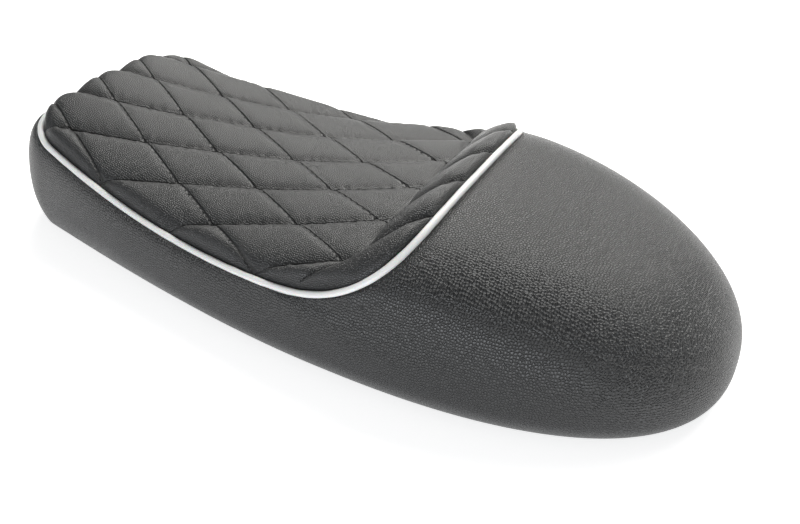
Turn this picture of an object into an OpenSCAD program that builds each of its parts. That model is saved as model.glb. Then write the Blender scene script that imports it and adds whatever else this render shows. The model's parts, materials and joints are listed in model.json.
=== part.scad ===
// Motorcycle seat with a rear hump: quilted top panel, plain vinyl cover, white welt piping,
// moulded foam and a ribbed plastic base. Millimetres, nose at -X, hump at +X, Z up.

/* [Plan] */
// Length from the nose to the end of the hump
seat_l = 560; // [500:1:620]
// Width at the widest station
seat_w = 270; // [240:1:300]
// Width across the nose
nose_w = 201; // [180:1:220]
// Corner radius of the nose
nose_corner_r = 45; // [36:1:55]
// Distance from the nose to the widest station
widest_x = 307; // [290:1:330]
// How fast the sides flare out behind the nose
nose_flare = 0.2; // [0.05:0.01:0.3]
// Roundness of the tail, 2 is an ellipse and more is squarer
tail_fullness = 2.42; // [2:0.02:2.8]

/* [Sides] */
// Height of the widest line of the side wall at the nose
belt_h_nose = 31.5; // [22:0.5:38]
// Height of the widest line along the sides and the hump
belt_h_side = 18.5; // [16:0.5:24]
// How far the lower edge tucks in at the nose
tuck_nose = 5.5; // [2:0.5:8]
// How far the lower edge tucks in along the sides and the hump
tuck_side = 9; // [5:0.5:11]
// Roundness of the wall at the nose
wall_fullness_nose = 2.04; // [1.7:0.02:2.4]
// Roundness of the wall at the hump
wall_fullness_hump = 1.98; // [1.8:0.02:2.4]

/* [Seam line] */
// Diameter of the piping bead
welt_d = 5; // [4:0.5:7]
// Distance from the nose to the piping on the front face
welt_nose_x = 15.5; // [13:0.5:24]
// How much narrower the piping is than the nose, each side
welt_inset_nose = 8.5; // [6:0.5:12]
// How far the piping lies inside the widest line along the sides
welt_inset_side = 9; // [6:0.5:12]
// Height of the piping at the nose
welt_h_nose = 87; // [75:1:95]
// Height of the piping half way to its low point
welt_h_mid = 55.5; // [50:0.5:65]
// Height of the piping at its low point
welt_h_low = 53.5; // [50:0.5:65]
// Distance from the nose to the low point
low_x = 267; // [250:1:280]
// Distance from the nose to the hump crest
crest_x = 361.5; // [345:0.5:375]
// Height of the piping at the hump crest
crest_h = 105; // [98:1:120]
// Squareness of the crest arch seen from above
crest_plan = 5.25; // [3.5:0.05:6]
// Squareness of the crest arch across the seat
crest_across = 3.58; // [2.4:0.02:4]
// Flatness of the crest arch at its top
crest_top = 2.29; // [1.6:0.01:2.6]

/* [Quilting] */
// Length of one quilted diamond
diamond_l = 103; // [80:1:120]
// Width of one quilted diamond
diamond_w = 48.5; // [36:0.5:60]
// Distance from the nose to the first row of crossings
quilt_start = 52; // [30:1:70]
// Crown of the seat across its width
crown_h = 9.5; // [5:0.5:14]
// Height of the padded edge that the panel rolls up to beside the piping
edge_h = 8.5; // [5:0.5:11]
// Distance from the seam over which the edge rolls up
edge_roll = 8; // [6:0.5:12]
// Distance behind the front seam over which the panel rises to its full crown
nose_roll = 20; // [14:1:30]
// Height of a pillow above its stitch lines
pillow_h = 4.5; // [2:0.5:7]
// Sharpness of the pillows, less is flatter with tighter creases
pillow_form = 0.5; // [0.4:0.05:1]
// Distance from the pillow edge to the seam over which a pillow fades
pillow_fade = 9; // [6:1:14]
// Depth of the hump's quilted front face, crease to crest
face_depth = 40; // [34:1:48]
// Thickness of the panel's vinyl and wadding at a stitch line
panel_t = 3; // [2.5:0.5:4]

/* [Cover] */
// Thickness of the vinyl
vinyl_t = 1.2; // [1:0.1:1.4]
// Clearance between the cover and what it wraps
fit_gap = 0.3; // [0.25:0.05:0.4]
// Width of the hem stapled to the underside
hem_lap = 16; // [14:1:20]
// Rounding of the lower edge
edge_r = 1; // [0.8:0.1:1.4]

/* [Base] */
// Height of the base's top face above the ground
base_top = 14; // [13:0.5:15]
// Thickness of the base plate
plate_t = 3; // [2.5:0.5:3.5]
// Thickness of the base's rim wall
rim_t = 4; // [3:0.5:5]
// Depth of the ribs below the plate
rib_h = 6; // [4:0.5:7]
// Thickness of a rib
rib_t = 3; // [2:0.5:4]
// Distance between the lengthwise ribs
rib_pitch_y = 40; // [34:1:44]
// Distance between the cross ribs
rib_pitch_x = 62; // [56:1:68]
// Radius of a vent hole
vent_r = 4; // [2:0.5:6]

/* [Fittings] */
// Lengthwise distance between the threaded inserts
insert_pitch_x = 248; // [236:2:260]
// Crosswise distance between the threaded inserts
insert_pitch_y = 120; // [112:2:124]
// Distance from the nose to the front inserts
insert_x = 126; // [118:1:134]
// Core radius of the insert's thread
insert_bore_r = 3.4; // [2.5:0.1:4]
// Barrel radius of the insert
insert_barrel_r = 5; // [4.6:0.1:6]
// Flange radius of the insert
insert_flange_r = 9; // [8:0.5:10]
// Flange thickness of the insert
insert_flange_t = 1.6; // [1:0.1:1.8]
// Length of the insert under its flange
insert_l = 8.5; // [7:0.5:9]
// Wall of the boss around an insert
boss_wall = 4; // [3:0.5:5]
// Radius of a rubber buffer where it meets the plate
buffer_r = 11; // [8:0.5:12]
// Radius of a rubber buffer at the ground
buffer_foot_r = 9; // [6:0.5:10]
// Radius of a buffer's stem
buffer_stem_r = 4; // [3:0.5:5]
// Clearance around a stem or barrel
bore_gap = 0.15; // [0.1:0.05:0.3]
// Distance from the nose to the front buffers
buffer_x = 95; // [88:1:98]
// Lengthwise distance between the buffers
buffer_pitch = 155; // [152:1:160]
// Distance of the buffers from the centre line
buffer_y = 60; // [56:1:62]
// Length of a staple's crown
staple_l = 11; // [8:1:12]
// Distance between staples round the hem
staple_pitch = 34; // [28:1:45]
// Wire thickness of a staple
staple_wire = 0.7; // [0.5:0.1:0.9]
// Depth a staple's legs reach into the plate
staple_bite = 2; // [1.5:0.1:2]

/* [Hidden] */
frontSegs = 6;
cornerSegs = 4;
sideSegs = 16;
archSegs = 6;
crestSegs = 10;
wallRows = 8;
beadSides = 10;
slope_low = 0.1;
crownForm = 2.2;
blend_x = 200;
lowerFace = 8;
faceStretch = 1.3;
hemClear = 4;
ribClear = 3;
legClear = 0.1;
rimStart = 1;
underStart = -0.5;
footEase = 0.4;
pastLow = 1.3;
fullBlend = 0.3;
lowShares = [0.55, 0.15];
welt_r = welt_d / 2;
half_w = seat_w / 2;
nose_half = nose_w / 2;
flare_a = atan(nose_flare);
ribsAcross = floor(half_w / rib_pitch_y);
ribsAlong = floor(seat_l / rib_pitch_x);
hem_under = base_top - plate_t - fit_gap - vinyl_t;
rimLow = vinyl_t + fit_gap;
insert_floor = base_top - insert_flange_t - fit_gap;
boss_r = insert_barrel_r + bore_gap + boss_wall;
flange_seat_r = insert_flange_r + fit_gap;
insert_xs = [insert_x, insert_x + insert_pitch_x];
buffer_xs = [for (i = [0:2]) buffer_x + i * buffer_pitch];
ventCells = [2:5];
vents = [for (i = ventCells) for (s = [-1, 1]) [(i + 0.5) * rib_pitch_x, s * rib_pitch_y / 2]];

// A cubic between two values with given end slopes
function cubic(t, a, b, m0, m1) = (2 * t ^ 3 - 3 * t ^ 2 + 1) * a + (t ^ 3 - 2 * t ^ 2 + t) * m0
  + (3 * t ^ 2 - 2 * t ^ 3) * b + (t ^ 3 - t ^ 2) * m1;

// Radius of a unit superellipse at angle b
function superR(b, n) = (cos(b) ^ n + sin(b) ^ n) ^ (-1 / n);

// Half plan curve, q 0..1 across the nose, 1..2 round its corner, 2..3 along the side, 3..4 round the tail
function planPt(q, fx, w0, r0, xe, w1, endSlope, le, n) =
  let (a1 = 90 - flare_a, x1 = fx + r0 - r0 * cos(a1), y1 = w0 - r0 + r0 * sin(a1), ln = xe - x1)
  q < 1 ? [fx, q * (w0 - r0)] :
  q < 2 ? let (a = a1 * (q - 1)) [fx + r0 * (1 - cos(a)), w0 - r0 + r0 * sin(a)] :
  q < 3 ? let (t = q - 2) [x1 + t * ln, cubic(t, y1, w1, nose_flare * ln, endSlope * ln)] :
  let (b = 90 * (q - 3), r = superR(b, n)) [xe + le * r * sin(b), b == 90 ? 0 : w1 * r * cos(b)];

function beltPt(q) = planPt(q, 0, nose_half, nose_corner_r, widest_x, half_w, 0, seat_l - widest_x,
  tail_fullness);

// Half width of the widest line at a distance from the nose, ahead of the widest station
function beltW(x) = let (x1 = nose_corner_r * (1 - sin(flare_a)), ln = widest_x - x1,
  y1 = nose_half - nose_corner_r * (1 - cos(flare_a)))
  cubic((x - x1) / ln, y1, half_w, nose_flare * ln, 0);

low_half = beltW(low_x) - welt_inset_side;

function weltPt(q) = planPt(q, welt_nose_x, nose_half - welt_inset_nose,
  nose_corner_r - welt_inset_nose / 2, low_x, low_half, slope_low, crest_x - low_x, crest_plan);

// Height of the piping along the nose and the sides
function sideZ(x) = let (t = min(pastLow, max(0, x / low_x)))
  welt_h_nose * (1 - t) * (1 - 2 * t) + welt_h_mid * 4 * t * (1 - t) + welt_h_low * t * (2 * t - 1);

// The crest arch: its height and its place at a distance from the centre line
function archZ(y) = welt_h_low + (crest_h - welt_h_low)
  * max(0, 1 - (min(1, abs(y) / low_half)) ^ crest_across) ^ (1 / crest_top);
function archX(y) = low_x + (crest_x - low_x)
  * max(0, 1 - (min(1, abs(y) / low_half)) ^ crest_plan) ^ (1 / crest_plan);

// Stations of the half loop, and of the whole loop mirrored over the centre line
stations = concat([for (i = [0:frontSegs - 1]) i / frontSegs],
  [for (i = [0:cornerSegs * 2 - 1]) 1 + i / (cornerSegs * 2)],
  [for (i = [0:sideSegs - 1]) 2 + i / sideSegs],
  [for (i = [0:archSegs - 1]) 3 + 0.5 * i / archSegs],
  [for (i = [0:crestSegs]) 3.5 + 0.5 * i / crestSegs]);
halfN = len(stations) - 1;
loopN = 2 * halfN;
function wholeLoop(h) = concat(h, [for (k = [halfN - 1:-1:1]) [h[k].x, -h[k].y]]);

belt = wholeLoop([for (q = stations) beltPt(q)]);
welt = wholeLoop([for (q = stations) weltPt(q)]);
weltZ = [for (k = [0:loopN - 1]) let (m = k <= halfN ? k : loopN - k)
  stations[m] < 3 ? sideZ(welt[k].x) : archZ(welt[k].y)];

// Unit vector into the seat, square to a loop at station k
function inward(p, k) = let (d = p[(k + 1) % loopN] - p[(k + loopN - 1) % loopN]) [d.y, -d.x] / norm(d);
beltIn = [for (k = [0:loopN - 1]) inward(belt, k)];
weltIn = [for (k = [0:loopN - 1]) inward(welt, k)];
noseMix = [for (p = belt) max(0, 1 - p.x / blend_x)];
beltZ = [for (m = noseMix) belt_h_side + (belt_h_nose - belt_h_side) * m];
tuck = [for (m = noseMix) tuck_side + (tuck_nose - tuck_side) * m];
fullness = [for (k = [0:loopN - 1]) let (q = stations[k <= halfN ? k : loopN - k])
  wall_fullness_nose + (wall_fullness_hump - wall_fullness_nose) * min(1, max(0, (q - 3) / fullBlend))];

// A point of the wall, c deep under its outer face, a from the widest line at 0 to the seam at 90
function wallPt(k, c, a) = let (o = belt[k] + beltIn[k] * c, e = welt[k] - weltIn[k] * (welt_r + fit_gap),
  f = 2 / fullness[k], p = o + (e - o) * (a >= 90 ? 1 : 1 - cos(a) ^ f))
  [p.x, p.y, beltZ[k] + (weltZ[k] - c - beltZ[k]) * sin(a) ^ f];

// A point of the tucked lower wall at height z, and one at depth d inside the outline
function lowPt(k, c, z) = let (t = z / beltZ[k], p = belt[k] + beltIn[k] * (c + (1 - t) ^ 2 * tuck[k]))
  [p.x, p.y, z];
function deepPt(k, d, z) = let (p = belt[k] + beltIn[k] * (tuck[k] + d)) [p.x, p.y, z];
// How far under the bead's centre the foam passes, more where the bead climbs
underBead = [for (k = [0:loopN - 1]) let (a = (k + loopN - 1) % loopN, b = (k + 1) % loopN,
  run = norm(welt[b] - welt[a])) (welt_r + fit_gap) * norm([run, weltZ[b] - weltZ[a]]) / run];

// Faces of a tube of rings, wrapped round when the last ring meets the first
function skin(rows, wrap) = [for (i = [0:rows - (wrap ? 1 : 2)]) for (k = [0:loopN - 1])
  let (a = i * loopN, b = ((i + 1) % rows) * loopN, n = (k + 1) % loopN)
  each [[a + k, a + n, b + n], [a + k, b + n, b + k]]];

// Seam of the quilted panel, twice as many points as stations
function seamPt(k) = let (p = welt[k] + weltIn[k] * (welt_r + fit_gap))
  [p.x, k == 0 || k == halfN ? 0 : p.y];
seam = [for (k = [0:halfN]) seamPt(k)];
function fineSeam(k) = k % 2 == 0 ? seam[k / 2] : (seam[(k - 1) / 2] + seam[(k + 1) / 2]) / 2;
acrossN = 2 * (frontSegs + cornerSegs);
alongN = 2 * (cornerSegs + sideSegs + archSegs);
frontRow = [for (j = [0:acrossN]) fineSeam(j)];
sideRow = [for (i = [0:alongN]) fineSeam(acrossN + i)];
crestRow = [for (j = [0:acrossN]) fineSeam(2 * halfN - j)];

// A point of the panel in plan, blended from its four edges; i runs back, j from one side to the other
function panelPt(i, j) = let (m = abs(j), s = j < 0 ? -1 : 1,
  u = (sideRow[i].x - sideRow[0].x) / (sideRow[alongN].x - sideRow[0].x),
  v = frontRow[m].y / frontRow[acrossN].y, w = crestRow[m].y / crestRow[acrossN].y,
  n = v + (w - v) * u, mid = frontRow[0] + (crestRow[0] - frontRow[0]) * u,
  p = (1 - u) * frontRow[m] + u * crestRow[m] + (1 - n) * mid + n * sideRow[i]
    - (1 - u) * (1 - n) * frontRow[0] - (1 - u) * n * frontRow[acrossN]
    - u * (1 - n) * crestRow[0] - u * n * crestRow[acrossN])
  [p.x, s * p.y];

// Half width inside the piping at a distance from the nose
widthTable = [for (k = [frontSegs:halfN]) [welt[k].x, welt[k].y]];
function seamW(x) = max(1, lookup(x, widthTable));

// Share of a quarter-round rise at t along it
function rollUp(t) = sqrt(1 - (1 - min(1, max(0, t))) ^ 2);

// Distance in plan from the panel's seam, and from one straight run of it
function runDist(p, a, b) = let (t = max(0, min(1, (p - a) * (b - a) / ((b - a) * (b - a)))))
  norm(p - a - t * (b - a));
function seamDist(x, y) = min([for (k = [0:halfN - 1]) runDist([x, abs(y)], welt[k], welt[k + 1])])
  - welt_r - fit_gap;

// Height of the seat surface: padded edge, crown, and the hump's front face rising behind the crease
function seatZ(x, y, depth, start) = let (xa = archX(y), t = min(1, max(0, (x - xa + depth) / depth)),
  h = sin(90 * t), e = min(1, abs(y) / seamW(x)), front = x - welt_nose_x - welt_r - fit_gap)
  sideZ(x) + (edge_h * rollUp((seamDist(x, y) + start) / (edge_roll + start))
    + crown_h * rollUp(front / nose_roll) * (1 - e ^ crownForm)) * (1 - h)
  + (archZ(abs(y) + welt_r + fit_gap) - sideZ(xa)) * h;

// Height of a pillow over its stitch lines
function pillow(x, y) = let (xs = x + max(0, x - archX(y) + face_depth) * (faceStretch - 1),
  l = (xs - quilt_start) / diamond_l, t = y / diamond_w,
  fade = sin(90 * min(1, max(0, seamDist(x, y) / pillow_fade))))
  pillow_h * (abs(sin(180 * (t + l + 0.5))) * abs(sin(180 * (t - l + 0.5)))) ^ pillow_form * fade;

// Grid helpers for the panel
function fineAt(i, j) = i * (2 * acrossN + 1) + j + acrossN;
function coarseAt(i, j) = i * (acrossN + 1) + j + acrossN / 2;
fineCount = (alongN + 1) * (2 * acrossN + 1);
underPts = [for (i = [0:2:alongN]) for (j = [-acrossN:2:acrossN]) let (p = panelPt(i, j))
  [p.x, p.y, seatZ(p.x, p.y, face_depth - lowerFace, underStart) - panel_t]];

// Faces of the panel's underside grid, seen from above
function underFaces(base, up) = [for (i = [0:alongN / 2 - 1]) for (j = [-acrossN / 2:acrossN / 2 - 1])
  let (a = base + coarseAt(i, j), b = base + coarseAt(i + 1, j), c = base + coarseAt(i + 1, j + 1),
    d = base + coarseAt(i, j + 1))
  each up ? [[a, d, c], [a, c, b]] : [[a, c, d], [a, b, c]]];

// The underside's rim in loop order, front centre first
coarseRim = concat([for (j = [0:acrossN / 2]) coarseAt(0, j)],
  [for (i = [1:alongN / 2]) coarseAt(i, acrossN / 2)],
  [for (j = [acrossN / 2 - 1:-1:-acrossN / 2]) coarseAt(alongN / 2, j)],
  [for (i = [alongN / 2 - 1:-1:0]) coarseAt(i, -acrossN / 2)],
  [for (j = [-acrossN / 2 + 1:-1]) coarseAt(0, j)]);
fineRim = concat([for (j = [0:acrossN]) fineAt(0, j)],
  [for (i = [1:alongN]) fineAt(i, acrossN)],
  [for (j = [acrossN - 1:-1:-acrossN]) fineAt(alongN, j)],
  [for (i = [alongN - 1:-1:0]) fineAt(i, -acrossN)],
  [for (j = [-acrossN + 1:-1]) fineAt(0, j)]);

// Plan polygon of the base, d inside the tucked lower edge
function basePoly(d) = [for (k = [0:loopN - 1]) let (p = deepPt(k, d, 0)) [p.x, p.y]];
rimOut = vinyl_t + fit_gap + edge_r;
rimIn = rimOut + rim_t;
hemIn = rimIn + fit_gap + vinyl_t;

// Evenly spaced places round the middle of the hem
hemPath = [for (k = [0:loopN]) deepPt(k % loopN, hemIn + hem_lap / 2, 0)];
hemSteps = [for (k = [0:loopN - 1]) norm(hemPath[k + 1] - hemPath[k])];
hemRun = [for (k = 0, run = 0; k <= loopN; run = run + (k < loopN ? hemSteps[k] : 0), k = k + 1) run];
hemXs = [for (k = [0:loopN]) [hemRun[k], hemPath[k].x]];
hemYs = [for (k = [0:loopN]) [hemRun[k], hemPath[k].y]];
function hemPt(run) = [lookup(run, hemXs), lookup(run, hemYs), 0];
stapleN = floor(hemRun[loopN] / staple_pitch);
staple_step = hemRun[loopN] / stapleN;

module staplePlace() {
  for (i = [0:stapleN - 1]) let (run = (i + 0.5) * staple_step,
    d = hemPt(run + staple_l / 2) - hemPt(run - staple_l / 2))
    translate(hemPt(run)) rotate([0, 0, atan2(d.y, d.x)]) children();
}

module stapleLegs(extra) {
  for (s = [-1, 1]) translate([s * (staple_l - staple_wire) / 2 - staple_wire / 2 - extra,
    -staple_wire / 2 - extra, hem_under - staple_wire / 2])
    cube([staple_wire + 2 * extra, staple_wire + 2 * extra,
      base_top - plate_t + staple_bite - hem_under + staple_wire / 2 + extra]);
}

module seat_base() {
  color([0.1, 0.1, 0.11]) translate([-seat_l / 2, 0, 0]) difference() {
    union() {
      difference() {
        translate([0, 0, rimLow]) linear_extrude(base_top - rimLow) polygon(basePoly(rimOut));
        translate([0, 0, -1]) linear_extrude(base_top - plate_t + 1) polygon(basePoly(rimIn));
      }
      intersection() {
        translate([0, 0, base_top - plate_t - rib_h]) linear_extrude(rib_h + plate_t / 2)
          polygon(basePoly(hemIn + hem_lap + hemClear));
        union() {
          for (i = [-ribsAcross:ribsAcross]) translate([0, i * rib_pitch_y - rib_t / 2, 0])
            cube([seat_l, rib_t, base_top]);
          for (i = [1:ribsAlong]) translate([i * rib_pitch_x - rib_t / 2, -half_w, 0])
            cube([rib_t, seat_w, base_top]);
        }
      }
      for (x = insert_xs) for (s = [-1, 1])
        translate([x, s * insert_pitch_y / 2, insert_floor - insert_l])
          cylinder(r = boss_r, h = insert_l + insert_flange_t);
    }
    for (x = insert_xs) for (s = [-1, 1]) translate([x, s * insert_pitch_y / 2, 0]) {
      cylinder(r = insert_barrel_r + bore_gap, h = base_top + 1);
      translate([0, 0, insert_floor]) cylinder(r = flange_seat_r, h = base_top);
    }
    for (x = buffer_xs) for (s = [-1, 1]) translate([x, s * buffer_y, 0]) {
      cylinder(r = buffer_stem_r + bore_gap, h = base_top + 1);
      cylinder(r = buffer_r + ribClear, h = base_top - plate_t);
    }
    for (v = vents) translate([v.x, v.y, 0]) cylinder(r = vent_r, h = base_top + 1);
    staplePlace() stapleLegs(legClear);
  }
}

module foam_core() {
  deep = vinyl_t + fit_gap;
  foot = base_top + fit_gap;
  rows = concat(
    [[for (k = [0:loopN - 1]) lowPt(k, deep + footEase, foot)]],
    [for (r = [0:2:wallRows - 2]) [for (k = [0:loopN - 1]) wallPt(k, deep, 90 * r / wallRows)]],
    [[for (k = [0:loopN - 1]) let (p = wallPt(k, 0, 90)) [p.x, p.y, p.z - underBead[k]]],
     [for (k = [0:loopN - 1]) [welt[k].x, welt[k].y, weltZ[k] - underBead[k]]]]);
  side = [for (r = rows) each r];
  last = (len(rows) - 1) * loopN;
  top = len(side);
  footMid = top + len(underPts);
  color([0.85, 0.8, 0.6]) translate([-seat_l / 2, 0, 0]) polyhedron(
    points = concat(side, [for (p = underPts) p - [0, 0, fit_gap]], [[seat_l / 2, 0, foot]]),
    faces = concat([for (k = [0:loopN - 1]) [(k + 1) % loopN, k, footMid]], skin(len(rows), false),
      underFaces(top, true),
      [for (k = [0:loopN - 1]) let (n = (k + 1) % loopN)
        each [[last + k, last + n, top + coarseRim[n]],
          [last + k, top + coarseRim[n], top + coarseRim[k]]]]));
}

module quilt_panel() {
  topPts = [for (i = [0:alongN]) for (j = [-acrossN:acrossN]) let (p = panelPt(i, j))
    [p.x, p.y, seatZ(p.x, p.y, face_depth, rimStart) + pillow(p.x, p.y)]];
  color([0.16, 0.16, 0.16]) translate([-seat_l / 2, 0, 0]) polyhedron(
    points = concat(topPts, underPts),
    faces = concat(
      [for (i = [0:alongN - 1]) for (j = [-acrossN:acrossN - 1])
        let (a = fineAt(i, j), b = fineAt(i + 1, j), c = fineAt(i + 1, j + 1), d = fineAt(i, j + 1))
        each (i + j) % 2 == 0 ? [[a, d, c], [a, c, b]] : [[a, d, b], [d, c, b]]],
      underFaces(fineCount, false),
      [for (k = [0:loopN - 1]) let (n = (k + 1) % loopN, a = fineCount + coarseRim[k],
        b = fineCount + coarseRim[n], f0 = fineRim[2 * k], f1 = fineRim[2 * k + 1], f2 = fineRim[2 * n])
        each [[a, f1, f0], [a, b, f1], [b, f2, f1]]]));
}

module cover_skirt() {
  inner = [for (r = [0:2:wallRows]) 90 * r / wallRows];
  rows = concat(
    [for (r = [wallRows:-1:0]) [for (k = [0:loopN - 1]) wallPt(k, 0, 90 * r / wallRows)]],
    [for (z = lowShares) [for (k = [0:loopN - 1]) lowPt(k, 0, z * beltZ[k])]],
    [[for (k = [0:loopN - 1]) deepPt(k, edge_r, 0)],
     [for (k = [0:loopN - 1]) deepPt(k, hemIn - edge_r, 0)],
     [for (k = [0:loopN - 1]) deepPt(k, hemIn, edge_r)],
     [for (k = [0:loopN - 1]) deepPt(k, hemIn, hem_under)],
     [for (k = [0:loopN - 1]) deepPt(k, hemIn + hem_lap, hem_under)],
     [for (k = [0:loopN - 1]) deepPt(k, hemIn + hem_lap, hem_under + vinyl_t)],
     [for (k = [0:loopN - 1]) deepPt(k, hemIn - vinyl_t, hem_under + vinyl_t)],
     [for (k = [0:loopN - 1]) deepPt(k, hemIn - vinyl_t, vinyl_t)],
     [for (k = [0:loopN - 1]) deepPt(k, vinyl_t + edge_r / 2, vinyl_t)],
     [for (k = [0:loopN - 1]) lowPt(k, vinyl_t, lowShares[0] * beltZ[k])]],
    [for (a = inner) [for (k = [0:loopN - 1]) wallPt(k, vinyl_t, a)]]);
  color([0.14, 0.14, 0.14]) translate([-seat_l / 2, 0, 0]) difference() {
    polyhedron(points = [for (r = rows) each r],
      faces = [for (f = skin(len(rows), true)) [f[0], f[2], f[1]]]);
    staplePlace() stapleLegs(legClear);
  }
}

module piping() {
  mid = [for (k = [0:loopN - 1]) [welt[k].x, welt[k].y, weltZ[k]]];
  // Each ring stands square to the seam
  ring = [for (k = [0:loopN - 1]) let (d = mid[(k + 1) % loopN] - mid[(k + loopN - 1) % loopN],
    t = d / norm(d), n = [weltIn[k].x, weltIn[k].y, 0], u = cross(n, t))
    [for (i = [0:beadSides - 1]) let (a = -360 * i / beadSides)
      mid[k] + welt_r * (cos(a) * n + sin(a) * u)]];
  color([0.95, 0.95, 0.95]) translate([-seat_l / 2, 0, 0]) polyhedron(
    points = [for (a = [0:beadSides - 1]) for (k = [0:loopN - 1]) ring[k][a]],
    faces = skin(beadSides, true));
}

module staples() {
  color([0.7, 0.7, 0.72]) translate([-seat_l / 2, 0, 0]) staplePlace() union() {
    translate([-staple_l / 2, -staple_wire / 2, hem_under - staple_wire])
      cube([staple_l, staple_wire, staple_wire]);
    stapleLegs(0);
  }
}

module tee_nuts() {
  color([0.72, 0.7, 0.6]) translate([-seat_l / 2, 0, 0])
    for (x = insert_xs) for (s = [-1, 1]) translate([x, s * insert_pitch_y / 2, insert_floor]) difference() {
      union() {
        cylinder(r = insert_flange_r, h = insert_flange_t);
        translate([0, 0, -insert_l]) cylinder(r = insert_barrel_r, h = insert_l + insert_flange_t / 2);
      }
      translate([0, 0, -insert_l - 1]) cylinder(r = insert_bore_r, h = insert_l + insert_flange_t + 2);
    }
}

module buffer(n) {
  color([0.08, 0.08, 0.08])
    translate([buffer_xs[floor((n - 1) / 2)] - seat_l / 2, (n % 2 == 1 ? -1 : 1) * buffer_y, 0]) union() {
      cylinder(r1 = buffer_foot_r, r2 = buffer_r, h = base_top - plate_t);
      cylinder(r = buffer_stem_r, h = base_top - fit_gap);
    }
}

seat_base();
foam_core();
quilt_panel();
cover_skirt();
piping();
staples();
tee_nuts();
buffer(1);  // buffer_1
buffer(2);  // buffer_2
buffer(3);  // buffer_3
buffer(4);  // buffer_4
buffer(5);  // buffer_5
buffer(6);  // buffer_6
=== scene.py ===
import json
import math
import bpy
import numpy as np
from mathutils import Matrix, Vector


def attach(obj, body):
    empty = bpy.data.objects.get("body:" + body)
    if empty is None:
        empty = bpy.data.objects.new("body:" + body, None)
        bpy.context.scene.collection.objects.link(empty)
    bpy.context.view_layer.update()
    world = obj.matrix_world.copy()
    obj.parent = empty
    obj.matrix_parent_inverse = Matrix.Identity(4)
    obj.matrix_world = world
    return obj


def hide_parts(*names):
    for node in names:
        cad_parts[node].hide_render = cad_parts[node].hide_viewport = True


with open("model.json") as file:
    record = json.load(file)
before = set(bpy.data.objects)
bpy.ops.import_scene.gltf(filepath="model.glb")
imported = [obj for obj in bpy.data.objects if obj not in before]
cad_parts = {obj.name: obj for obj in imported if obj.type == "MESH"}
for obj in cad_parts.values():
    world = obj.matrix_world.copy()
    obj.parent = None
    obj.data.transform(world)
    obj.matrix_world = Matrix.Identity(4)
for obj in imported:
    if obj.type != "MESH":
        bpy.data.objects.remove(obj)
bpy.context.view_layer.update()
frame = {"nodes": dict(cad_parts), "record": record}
scene = bpy.context.scene
mm = 0.001

# The seat's own lines in millimetres, the same values as in the CAD source: the belt is the widest
# line round the seat, the bead is its piping, and the crest is where the piping crosses the hump
seat = {
    "length": 560, "width": 270, "noseWidth": 201, "noseCorner": 45, "widestAt": 307,
    "noseFlare": 0.2, "tailFullness": 2.42,
    "beltNose": 31.5, "beltSide": 18.5, "tuckNose": 5.5, "tuckSide": 9,
    "wallNose": 2.04, "wallHump": 1.98, "humpBlend": 0.3, "blendLength": 200,
    "beadSize": 5, "beadNoseAt": 15.5, "beadInsetNose": 8.5, "beadInsetSide": 9,
    "beadHighNose": 87, "beadHighMid": 55.5, "beadHighLow": 53.5, "lowAt": 267, "lowSlope": 0.1,
    "crestAt": 361.5, "crestHigh": 105, "crestPlan": 5.25, "crestAcross": 3.58, "crestTop": 2.29,
    "edgeHigh": 8.5, "edgeRoll": 8, "crown": 9.5, "crownForm": 2.2, "noseRoll": 20, "faceDepth": 40,
    "diamondLength": 103, "diamondWidth": 48.5, "quiltStart": 52,
    "vinyl": 1.2, "gap": 0.3, "edge": 1.0, "rim": 4, "hemLap": 16, "hemUnder": 9.5,
}
beadR = seat["beadSize"] / 2


def linearColour(code):
    parts = [int(code[i:i + 2], 16) / 255 for i in (1, 3, 5)]
    return [c / 12.92 if c <= 0.04045 else ((c + 0.055) / 1.055) ** 2.4 for c in parts] + [1.0]


def addNode(tree, kind, settings=None, links=None):
    node = tree.nodes.new(kind)
    for name, value in (settings or {}).items():
        if isinstance(name, str) and hasattr(node, name):
            setattr(node, name, value)
        else:
            node.inputs[name].default_value = value
    for name, source in (links or {}).items():
        tree.links.new(source, node.inputs[name])
    return node


def newMaterial(name):
    material = bpy.data.materials.new(name)
    material.use_nodes = True
    material.node_tree.nodes.clear()
    return material, material.node_tree


# Outline and surface of the seat, all in millimetres from the nose
def cubic(t, a, b, slopeA, slopeB):
    return ((2 * t**3 - 3 * t**2 + 1) * a + (t**3 - 2 * t**2 + t) * slopeA
            + (3 * t**2 - 2 * t**3) * b + (t**3 - t**2) * slopeB)


flare = math.atan(seat["noseFlare"])


# q runs 0..1 across the nose, 1..2 round its corner, 2..3 along the side, 3..4 round the tail
def planCurve(q, noseAt, halfNose, corner, widestAt, halfWide, endSlope, tail, power):
    turn = math.pi / 2 - flare
    startX = noseAt + corner - corner * math.cos(turn)
    startY = halfNose - corner + corner * math.sin(turn)
    run = widestAt - startX
    a = turn * np.clip(q - 1, 0, 1)
    t = np.clip(q - 2, 0, 1)
    b = np.pi / 2 * np.clip(q - 3, 0, 1)
    r = (np.abs(np.cos(b))**power + np.sin(b)**power)**(-1 / power)
    x = np.where(q < 1, noseAt, np.where(q < 2, noseAt + corner * (1 - np.cos(a)), np.where(
        q < 3, startX + t * run, widestAt + tail * r * np.sin(b))))
    y = np.where(q < 1, q * (halfNose - corner), np.where(
        q < 2, halfNose - corner + corner * np.sin(a), np.where(
            q < 3, cubic(t, startY, halfWide, seat["noseFlare"] * run, endSlope * run),
            halfWide * r * np.cos(b))))
    return x, np.where(q >= 4, 0, y)


def beltHalf(x):
    corner, half = seat["noseCorner"], seat["noseWidth"] / 2
    startX = corner * (1 - math.sin(flare))
    run = seat["widestAt"] - startX
    return cubic((x - startX) / run, half - corner * (1 - math.cos(flare)), seat["width"] / 2,
                 seat["noseFlare"] * run, 0)


lowHalf = beltHalf(seat["lowAt"]) - seat["beadInsetSide"]


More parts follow.
